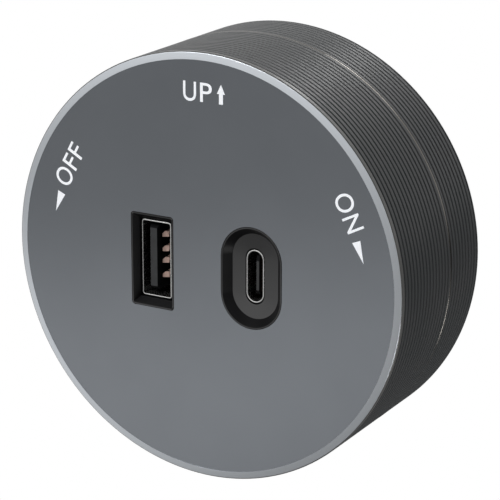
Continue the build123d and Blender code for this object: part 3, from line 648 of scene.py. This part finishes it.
# Surrounds of the two sockets
surroundA = {
    "x": -9.6,
    "width": 8.06,
    "height": 15.92,
    "corner": 0.55,
    "rim": 0.27,
    "front": 0.05,
    "slope": 0.66,
    "slopeBack": 1.1,
    "wellHeight": 13.6,
    "back": 2.55,
    "flangeFront": 1.55,
    "flange": 1.4,
    "edgeRound": 0.045,
    "cornerSteps": 5,
    "polishReach": 0.05,    # faces this near the lip's plane are polished
}
surroundC = {
    "x": 9.1,
    "width": 11.14,
    "height": 17.06,
    "rim": 0.27,
    "front": 0.05,
    "slope": 1.05,
    "floor": 1.4,
    "floorCrown": 0.05,     # the floor rises this much towards the socket
    "holeWidth": 3.46,
    "back": 2.55,
    "flangeFront": 1.55,
    "flange": 1.4,
    "edgeRound": 0.045,
    "ovalPoints": 72,
    "polishReach": 0.05,
}


def frontRectangle(name, x, front, width, height, corner):
    # a flat rectangle with rounded corners that faces the front
    clearSelection()
    bpy.ops.mesh.primitive_plane_add(size=1, rotation=(math.pi / 2, 0, 0))
    piece = named(name)
    piece.location = (x * mm, yAt(front), 0)
    piece.scale = (width * mm, height * mm, 1)
    settled(piece)
    openMesh()
    bpy.ops.mesh.bevel(
        offset=corner * mm, offset_type="OFFSET", segments=surroundA["cornerSteps"],
        affect="VERTICES",
    )
    return piece


def frontOval(name, x, front, width, height, points):
    # a flat oval with two straight sides that faces the front
    clearSelection()
    bpy.ops.mesh.primitive_circle_add(
        vertices=points, radius=width / 2 * mm, fill_type="NGON", rotation=(math.pi / 2, 0, 0)
    )
    piece = named(name)
    piece.location = (x * mm, yAt(front), 0)
    settled(piece)
    openMesh()
    centre = (x * mm, yAt(front), 0)
    bpy.ops.transform.rotate(
        value=math.pi / points, orient_axis="Y", orient_type="GLOBAL", center_override=centre
    )
    for side in (1, -1):
        choose("verts", lambda middle, item: side * middle.z > 0)
        bpy.ops.transform.translate(value=(0, 0, side * (height - width) / 2 * mm))
    bpy.ops.mesh.select_all(action="SELECT")
    return piece


def slopeIn(thickness, depth):
    # insets the chosen face and pushes the new one back into the object
    bpy.ops.mesh.inset(thickness=thickness * mm, depth=-depth * mm, use_even_offset=True)


def pushBack(distance):
    bpy.ops.mesh.extrude_region_move(TRANSFORM_OT_translate={"value": (0, distance * mm, 0)})


def backSkirt(sizes):
    # the outside of a surround: through the plate, then a flange behind it, closed to the hole
    front = yAt(sizes["front"])
    choose(
        "edges",
        lambda middle, item: item.is_boundary and abs(middle.y - front) < nearby * mm,
    )
    pushBack(sizes["flangeFront"] - sizes["front"])
    bpy.ops.mesh.extrude_region_move()
    grow = (
        1 + 2 * sizes["flange"] / sizes["width"], 1, 1 + 2 * sizes["flange"] / sizes["height"]
    )
    bpy.ops.transform.resize(value=grow, center_override=(sizes["x"] * mm, 0, 0))
    pushBack(sizes["back"] - sizes["flangeFront"])
    choose("edges", lambda middle, item: item.is_boundary)
    bpy.ops.mesh.bridge_edge_loops()


def finishSurround(piece, sizes, node):
    # rounds the edges and polishes the lip and the flat floor
    closeMesh()
    softEdges(piece, sizes["edgeRound"])
    paint(piece, glossBlack)
    flats = [yAt(sizes["front"]), yAt(sizes.get("floor", sizes["front"]))]
    reach = sizes["polishReach"] * mm
    tinted(
        piece, polishedBlack,
        lambda middle, normal: normal.y < -0.98 and min(abs(middle.y - y) for y in flats) < reach,
    )
    fasten(piece, "head", "surround_black", node)


def makeSurroundA():
    sizes = surroundA
    piece = frontRectangle(
        "surround_a", sizes["x"], sizes["front"], sizes["width"], sizes["height"], sizes["corner"]
    )
    slopeIn(sizes["rim"], 0)
    slopeIn(sizes["slope"], sizes["slopeBack"] - sizes["front"])
    evenHeight = sizes["height"] - 2 * (sizes["rim"] + sizes["slope"])
    bpy.ops.transform.resize(
        value=(1, 1, sizes["wellHeight"] / evenHeight), center_override=(sizes["x"] * mm, 0, 0)
    )
    pushBack(sizes["back"] - sizes["slopeBack"])
    bpy.ops.mesh.delete(type="FACE")
    backSkirt(sizes)
    finishSurround(piece, sizes, "usb_a_surround")


def makeSurroundC():
    sizes = surroundC
    piece = frontOval(
        "surround_c", sizes["x"], sizes["front"], sizes["width"], sizes["height"],
        sizes["ovalPoints"],
    )
    slopeIn(sizes["rim"], 0)
    slopeIn(sizes["slope"], sizes["floor"] - sizes["front"])
    floorWidth = sizes["width"] - 2 * (sizes["rim"] + sizes["slope"])
    slopeIn((floorWidth - sizes["holeWidth"]) / 2, -sizes["floorCrown"])
    pushBack(sizes["back"] - sizes["floor"] + sizes["floorCrown"])
    bpy.ops.mesh.delete(type="FACE")
    backSkirt(sizes)
    finishSurround(piece, sizes, "usb_c_surround")


makeSurroundA()
makeSurroundC()
print("surrounds formed")

# Steel shells of the two sockets
shellA = {"x": -9.6, "width": 5.7, "height": 13.1, "corner": 0.5, "wall": 0.22}
shellC = {"x": 9.1, "width": 3.26, "height": 8.94, "wall": 0.23, "ovalPoints": 56}
shellDepths = {"front": 1.4, "back": 13.2, "lipRound": 0.07}


def makeShells():
    depths = shellDepths
    pieceA = frontRectangle(
        "socket_a_shell", shellA["x"], depths["front"], shellA["width"], shellA["height"],
        shellA["corner"],
    )
    slopeIn(shellA["wall"], 0)
    finishShell(pieceA, "usb_a_shell")
    pieceC = frontOval(
        "socket_c_shell", shellC["x"], depths["front"], shellC["width"], shellC["height"],
        shellC["ovalPoints"],
    )
    slopeIn(shellC["wall"], 0)
    finishShell(pieceC, "usb_c_shell")


def finishShell(piece, node):
    # opens the mouth, gives the wall its length and rounds its lip
    depths = shellDepths
    bpy.ops.mesh.delete(type="FACE")
    bpy.ops.mesh.select_all(action="SELECT")
    pushBack(depths["back"] - depths["front"])
    closeMesh()
    softEdges(piece, depths["lipRound"])
    paint(piece, drawnSteel)
    fasten(piece, "head", "socket_steel", node)


makeShells()
print("socket shells formed")

# Tongues of the two sockets, with a tapered nose and a wider block behind, and their contacts
tongueA = {
    "left": -11.47,
    "right": -9.63,
    "halfHeight": 5.55,
    "noseFront": 2.05,
    "noseBack": 2.5,
    "noseSize": (0.745, 0.913),    # share of width and height left at the tip
    "noseCentre": (-10.61, -0.2),
    "blockFront": 10.2,
    "back": 13.2,
    "blockWidth": 5.06,
    "blockHeight": 11.5,
    "blockX": -9.6,
    "round": 0.05,
}
tongueC = {
    "left": 8.75,
    "right": 9.45,
    "halfHeight": 3.345,
    "noseFront": 2.1,
    "noseBack": 2.5,
    "noseSize": (0.8, 0.75),
    "noseCentre": (9.45, -0.4),
    "blockFront": 10.8,
    "back": 13.2,
    "blockWidth": 2.62,
    "blockHeight": 8.3,
    "blockX": 9.1,
    "round": 0.04,
}
contactsA = {
    # the side view of one spring strip, (x, depth): it bows out of the tongue behind its nose
    "profile": (
        (-9.63, 3.25), (-8.67, 3.8), (-8.67, 3.95), (-9.33, 4.5), (-9.33, 10.2), (-9.63, 10.2),
    ),
    "heights": (3.8, 1.3, -0.7, -3.2),
    "width": 1.0,
    "cornerCut": 0.4,
    "round": 0.03,
}


def makeTongue(name, sizes, node):
    half = sizes["halfHeight"]
    piece = block(
        name, (sizes["left"], sizes["noseBack"], -half), (sizes["right"], sizes["blockFront"], half)
    )
    choose("faces", lambda middle, item: item.normal.y < -0.9)
    pushBack(sizes["noseFront"] - sizes["noseBack"])
    shareX, shareZ = sizes["noseSize"]
    centreX, centreZ = sizes["noseCentre"]
    bpy.ops.transform.resize(
        value=(shareX, 1, shareZ), center_override=(centreX * mm, 0, centreZ * mm)
    )
    choose("faces", lambda middle, item: item.normal.y > 0.9)
    bpy.ops.mesh.extrude_region_move()
    width = sizes["right"] - sizes["left"]
    middleX = (sizes["left"] + sizes["right"]) / 2
    bpy.ops.transform.resize(
        value=(sizes["blockWidth"] / width, 1, sizes["blockHeight"] / (2 * half)),
        center_override=(middleX * mm, 0, 0),
    )
    bpy.ops.transform.translate(value=((sizes["blockX"] - middleX) * mm, 0, 0))
    pushBack(sizes["back"] - sizes["blockFront"])
    closeMesh()
    softEdges(piece, sizes["round"])
    paint(piece, shadeBlackNylon)
    # the front ends take the paler copy as painted light; the sides keep the near-black copy as painted
    # shade
    tinted(
        piece, litFrontNylon,
        lambda middle, normal: normal.y < -0.99 and middle.y < yAt(sizes["noseBack"]) - 0.1 * mm,
    )
    fasten(piece, "head", "tongue_grey", node)


def makeContactsA():
    # fills the side view, gives it its width, cuts its top corner and copies it to each height
    sizes = contactsA
    half = sizes["width"] / 2 * mm
    first = drawn("socket_a_contacts", [(x * mm, yAt(depth), -half) for x, depth in sizes["profile"]])
    bpy.ops.mesh.edge_face_add()
    bpy.ops.mesh.extrude_region_move(TRANSFORM_OT_translate={"value": (0, 0, 2 * half)})
    left = sizes["profile"][0][0] * mm
    choose(
        "edges",
        lambda middle, item: middle.z > 0.95 * half and abs(middle.x - left) < nearby * mm,
    )
    bpy.ops.mesh.bevel(offset=sizes["cornerCut"] * mm, offset_type="OFFSET", segments=1)
    closeMesh()
    strips = []
    for height in sizes["heights"]:
        clearSelection()
        bpy.context.view_layer.objects.active = first
        first.select_set(True)
        bpy.ops.object.duplicate()
        strip = bpy.context.object
        strip.location = (0, 0, height * mm)
        settled(strip)
        strips.append(strip)
    bpy.data.objects.remove(first)
    piece = joined(strips, "socket_a_contacts")
    softEdges(piece, sizes["round"], 1)
    paint(piece, platedCopper)
    fasten(piece, "head", "contact_copper", "usb_a_contacts")


makeTongue("socket_a_tongue", tongueA, "usb_a_tongue")
makeTongue("socket_c_tongue", tongueC, "usb_c_tongue")
makeContactsA()
# the small contacts deep in the mouth take the darkened copy: painted shade
paint(frame["nodes"]["usb_c_contacts"], shadedCopper)
print("tongues and contacts formed")

# Rear parts: the same shapes with the edges rounded as moulding and stamping leave them
softParts = (
    # name, node, body, slot, edge width in millimetres
    ("soft_base_plate", "base_plate", "base", "base_grey", 0.2),
    ("soft_twist_post", "twist_post", "head", "base_grey", 0.15),
    ("soft_twist_cover", "twist_cover", "head", "base_grey", 0.3),
    ("soft_retaining_ring", "retaining_ring", "head", "spring_steel", 0.12),
    ("soft_live_contact", "live_contact", "live_shoe", "contact_copper", 0.12),
    ("soft_neutral_contact", "neutral_contact", "neutral_shoe", "contact_copper", 0.12),
)


def copiedNode(name, node, flatten):
    # a piece with a solid's mesh, its triangles merged and, where asked, its flat sides made whole
    solid = frame["nodes"][node]
    clearSelection()
    piece = bpy.data.objects.new(name, solid.data.copy())
    bpy.context.scene.collection.objects.link(piece)
    piece.data.name = name
    piece.matrix_world = solid.matrix_world
    settled(piece)
    openMesh()
    bpy.ops.mesh.remove_doubles(threshold=copyMergeGap * mm)
    if flatten:
        bpy.ops.mesh.select_all(action="SELECT")
        bpy.ops.mesh.dissolve_limited(angle_limit=math.radians(1))
    bpy.ops.mesh.select_all(action="SELECT")
    bpy.ops.mesh.normals_make_consistent(inside=False)
    bpy.ops.object.mode_set(mode="OBJECT")
    return piece


def makeSoftParts():
    for name, node, body, slot, width in softParts:
        piece = copiedNode(name, node, True)
        softEdges(piece, width, 2, 40)
        paint(piece, finishOfSlot[slot])
        fasten(piece, body, slot, node)


makeSoftParts()
print("rear parts rounded")

# Coil springs behind the contacts, copied from their solids; in the real part each shortens towards the
# axis as its contact is pressed in
springs = {
    "travel": 1.0,   # millimetres that a contact gives way
    # name, node, joint, side of the axis
    "pairs": (
        ("coil_live", "live_spring", "live_press", 1),
        ("coil_neutral", "neutral_spring", "neutral_press", -1),
    ),
}


def makeSprings():
    for name, node, joint, side in springs["pairs"]:
        piece = copiedNode(name, node, False)
        paint(piece, springSteel)
        fasten(piece, "head", "spring_steel", node)
        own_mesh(piece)


makeSprings()
print("springs made")

# Printed marks on the face: letters and arrows of white ink
# A word stands on a line square to its clock angle. Places are (along the line, out from the axis).
marks = {
    "inkDepth": 0.03,
    "inkThickness": 0.02,
    "fontSwell": 0.003,       # thickens the strokes, in shares of the letter size
    "up": {
        "angle": 0.0,
        "letters": (("U", (-2.2, 29.5), (2.4, 3.2)), ("P", (0.82, 29.54), (2.16, 3.14))),
        "arrow": (
            (3.58, 31.16), (4.32, 29.62), (3.94, 29.62), (3.94, 27.97), (3.22, 27.97), (3.22, 29.62),
            (2.84, 29.62),
        ),
    },
    "off": {
        "angle": -60.8,
        "letters": (
            ("O", (-2.45, 29.24), (2.94, 3.28)), ("F", (0.53, 29.3), (1.78, 3.06)),
            ("F", (2.85, 29.34), (1.78, 3.06)),
        ),
        "arrow": ((-5.42, 29.12), (-5.26, 27.65), (-8.85, 27.84)),
    },
    "on": {
        "angle": 63.0,
        "letters": (("O", (-1.71, 29.77), (2.98, 3.28)), ("N", (1.74, 29.7), (2.56, 3.1))),
        "arrow": ((4.5, 28.2), (4.62, 29.7), (8.15, 28.62)),
    },
}


def onFace(piece, angle):
    # stands a flat shape up on the face and turns it clockwise by the angle
    stand = Matrix.Rotation(math.pi / 2, 4, "X")
    turn = Matrix.Rotation(math.radians(angle), 4, "Y")
    depth = marks["inkDepth"] + marks["inkThickness"] / 2
    piece.data.transform(Matrix.Translation((0, yAt(depth), 0)) @ turn @ stand)
    # the ink glows a little: painted light
    paint(piece, glowingInk)


def inkLetter(letter, centre, size, angle):
    # a letter of the built-in font, stretched to its size
    clearSelection()
    bpy.ops.object.text_add()
    text = bpy.context.object
    text.data.body = letter
    text.data.extrude = marks["inkThickness"] / 2 * mm
    text.data.offset = marks["fontSwell"]
    text.data.resolution_u = 8
    bpy.ops.object.convert(target="MESH")
    piece = named("ink_letter")
    across = [v.co.x for v in piece.data.vertices]
    upwards = [v.co.y for v in piece.data.vertices]
    middle = Vector(((min(across) + max(across)) / 2, (min(upwards) + max(upwards)) / 2, 0))
    stretch = (
        size[0] * mm / (max(across) - min(across)), size[1] * mm / (max(upwards) - min(upwards)), 1, 1
    )
    shift = Matrix.Translation((centre[0] * mm, centre[1] * mm, 0))
    piece.data.transform(shift @ Matrix.Diagonal(stretch) @ Matrix.Translation(-middle))
    onFace(piece, angle)
    return piece


def inkArrow(points, angle):
    # fills the outline and gives the ink its thickness
    half = marks["inkThickness"] / 2 * mm
    piece = drawn("ink_arrow", [(along * mm, out * mm, -half) for along, out in points])
    bpy.ops.mesh.edge_face_add()
    bpy.ops.mesh.extrude_region_move(TRANSFORM_OT_translate={"value": (0, 0, 2 * half)})
    closeMesh()
    onFace(piece, angle)
    return piece


def makeMarks():
    for word in ("up", "off", "on"):
        facts = marks[word]
        shapes = [inkLetter(*letter, facts["angle"]) for letter in facts["letters"]]
        shapes.append(inkArrow(facts["arrow"], facts["angle"]))
        piece = joined(shapes, "mark_" + word)
        openMesh()
        closeMesh()
        fasten(piece, "head", "face_grey")


makeMarks()
print("marks printed")

# Floor far below, so that its shadow stays out of the picture, and a white surround
stage = {"floorHeight": -0.27, "floorHalf": 12.0, "floorColour": "#c0c0c0", "skyFill": 0.2}


def seenDirectly(tree):
    # 1 where the camera, a reflection or a clear material looks, and 0 for plain light
    rays = addNode(tree, "ShaderNodeLightPath")
    seen = rays.outputs["Is Camera Ray"]
    for kind in ("Is Glossy Ray", "Is Transmission Ray"):
        seen = addNode(
            tree, "ShaderNodeMath", {0: seen, 1: rays.outputs[kind]}, operation="MAXIMUM"
        ).outputs[0]
    return seen


def makeFloor():
    clearSelection()
    half = stage["floorHalf"]
    bpy.ops.mesh.primitive_plane_add(size=2 * half, location=(0, 0, stage["floorHeight"]))
    floor = named("floor")
    settled(floor)
    material = bpy.data.materials.new("floor_white")
    material.use_nodes = True
    tree = material.node_tree
    tree.nodes.clear()
    seen = seenDirectly(tree)
    paper = addNode(tree, "ShaderNodeBsdfDiffuse", {"Color": linear(stage["floorColour"])})
    white = addNode(tree, "ShaderNodeEmission", {"Color": (1, 1, 1, 1), "Strength": 1.0})
    mixed = addNode(
        tree, "ShaderNodeMixShader", {0: seen, 1: paper.outputs[0], 2: white.outputs[0]}
    )
    addNode(tree, "ShaderNodeOutputMaterial", {"Surface": mixed.outputs[0]})
    paint(floor, material)


def makeSky():
    world = bpy.data.worlds.new("studio")
    bpy.context.scene.world = world
    world.use_nodes = True
    tree = world.node_tree
    tree.nodes.clear()
    seen = seenDirectly(tree)
    fill = addNode(
        tree, "ShaderNodeBackground", {"Color": (1, 1, 1, 1), "Strength": stage["skyFill"]}
    )
    white = addNode(tree, "ShaderNodeBackground", {"Color": (1, 1, 1, 1), "Strength": 1.0})
    mixed = addNode(
        tree, "ShaderNodeMixShader", {0: seen, 1: fill.outputs[0], 2: white.outputs[0]}
    )
    addNode(tree, "ShaderNodeOutputWorld", {"Surface": mixed.outputs[0]})


makeFloor()
makeSky()

# A card just over the floor that only reflections see: bright near the object and dim further out,
# so that the satin face and the rims have a light and a dark part to mirror, as in a studio
floorCard = {
    "height": -0.268,
    "half": 6.0,
    # (distance in metres, strength)
    "stops": (
        (0.0, 0.62), (0.42, 0.72), (0.54, 1.0), (0.74, 1.08), (0.85, 0.74), (0.95, 0.38), (1.3, 0.32),
        (1.7, 0.42), (5.0, 0.95),
    ),
    # from and to in metres, then the share of the strength at each
    "fadeRight": (-0.27, -0.14, 1.0, 0.4),
    "fadeBack": (-0.1, 0.15, 1.0, 0.45),
}


def makeFloorCard():
    clearSelection()
    bpy.ops.mesh.primitive_plane_add(size=2 * floorCard["half"], location=(0, 0, floorCard["height"]))
    card = named("floor_card")
    settled(card)
    material = bpy.data.materials.new("dim_floor_card")
    material.use_nodes = True
    tree = material.node_tree
    tree.nodes.clear()
    place = addNode(tree, "ShaderNodeTexCoord").outputs["Object"]
    parts = addNode(tree, "ShaderNodeSeparateXYZ", {"Vector": place})
    flat = addNode(tree, "ShaderNodeCombineXYZ", {"X": parts.outputs["X"], "Y": parts.outputs["Y"]})
    away = addNode(tree, "ShaderNodeVectorMath", {0: flat.outputs[0]}, operation="LENGTH")
    share = addNode(
        tree, "ShaderNodeMath", {0: away.outputs["Value"], 1: floorCard["half"]}, operation="DIVIDE"
    )
    node = addNode(tree, "ShaderNodeValToRGB", {"Fac": share.outputs[0]})
    elements = node.color_ramp.elements
    while len(elements) < len(floorCard["stops"]):
        elements.new(0.5)
    for element, (distance, strength) in zip(elements, floorCard["stops"]):
        element.position = distance / floorCard["half"]
        element.color = (strength, strength, strength, 1)
    fades = [
        addNode(
            tree, "ShaderNodeMapRange",
            {
                "Value": parts.outputs[axis], "From Min": fade[0], "From Max": fade[1],
                "To Min": fade[2], "To Max": fade[3],
            },
        ).outputs["Result"]
        for axis, fade in (("X", floorCard["fadeRight"]), ("Y", floorCard["fadeBack"]))
    ]
    strength = addNode(tree, "ShaderNodeMath", {0: fades[0], 1: fades[1]}, operation="MULTIPLY")
    glow = addNode(
        tree, "ShaderNodeEmission",
        {"Color": node.outputs["Color"], "Strength": strength.outputs[0]},
    )
    addNode(tree, "ShaderNodeOutputMaterial", {"Surface": glow.outputs[0]})
    paint(card, material)
    card.visible_camera = False
    card.visible_diffuse = False
    card.visible_transmission = False
    card.visible_shadow = False


makeFloorCard()

# Soft lamps: name, place in metres, size in metres, power in watts
lamps = (
    ("overhead", (0.24, 0.5, 0.72), 0.55, 4.8),
    ("behind", (-0.06, 0.75, 0.5), 0.16, 0.65),
    ("low_right", (0.3, -0.08, -0.25), 0.2, 1.0),
    ("front_left", (-0.45, -0.8, 0.75), 0.6, 10.5),
)


def makeLamps():
    for name, place, size, power in lamps:
        light = bpy.data.lights.new(name, "AREA")
        light.shape = "DISK"
        light.size = size
        light.energy = power
        lamp = bpy.data.objects.new(name, light)
        bpy.context.scene.collection.objects.link(lamp)
        aim = -Vector(place)
        lamp.matrix_world = (
            Matrix.Translation(place) @ aim.to_track_quat("-Z", "Y").to_matrix().to_4x4()
        )
        lamp.visible_camera = False


makeLamps()
bpy.context.scene.view_settings.view_transform = "Standard"
print("stage and lamps set")
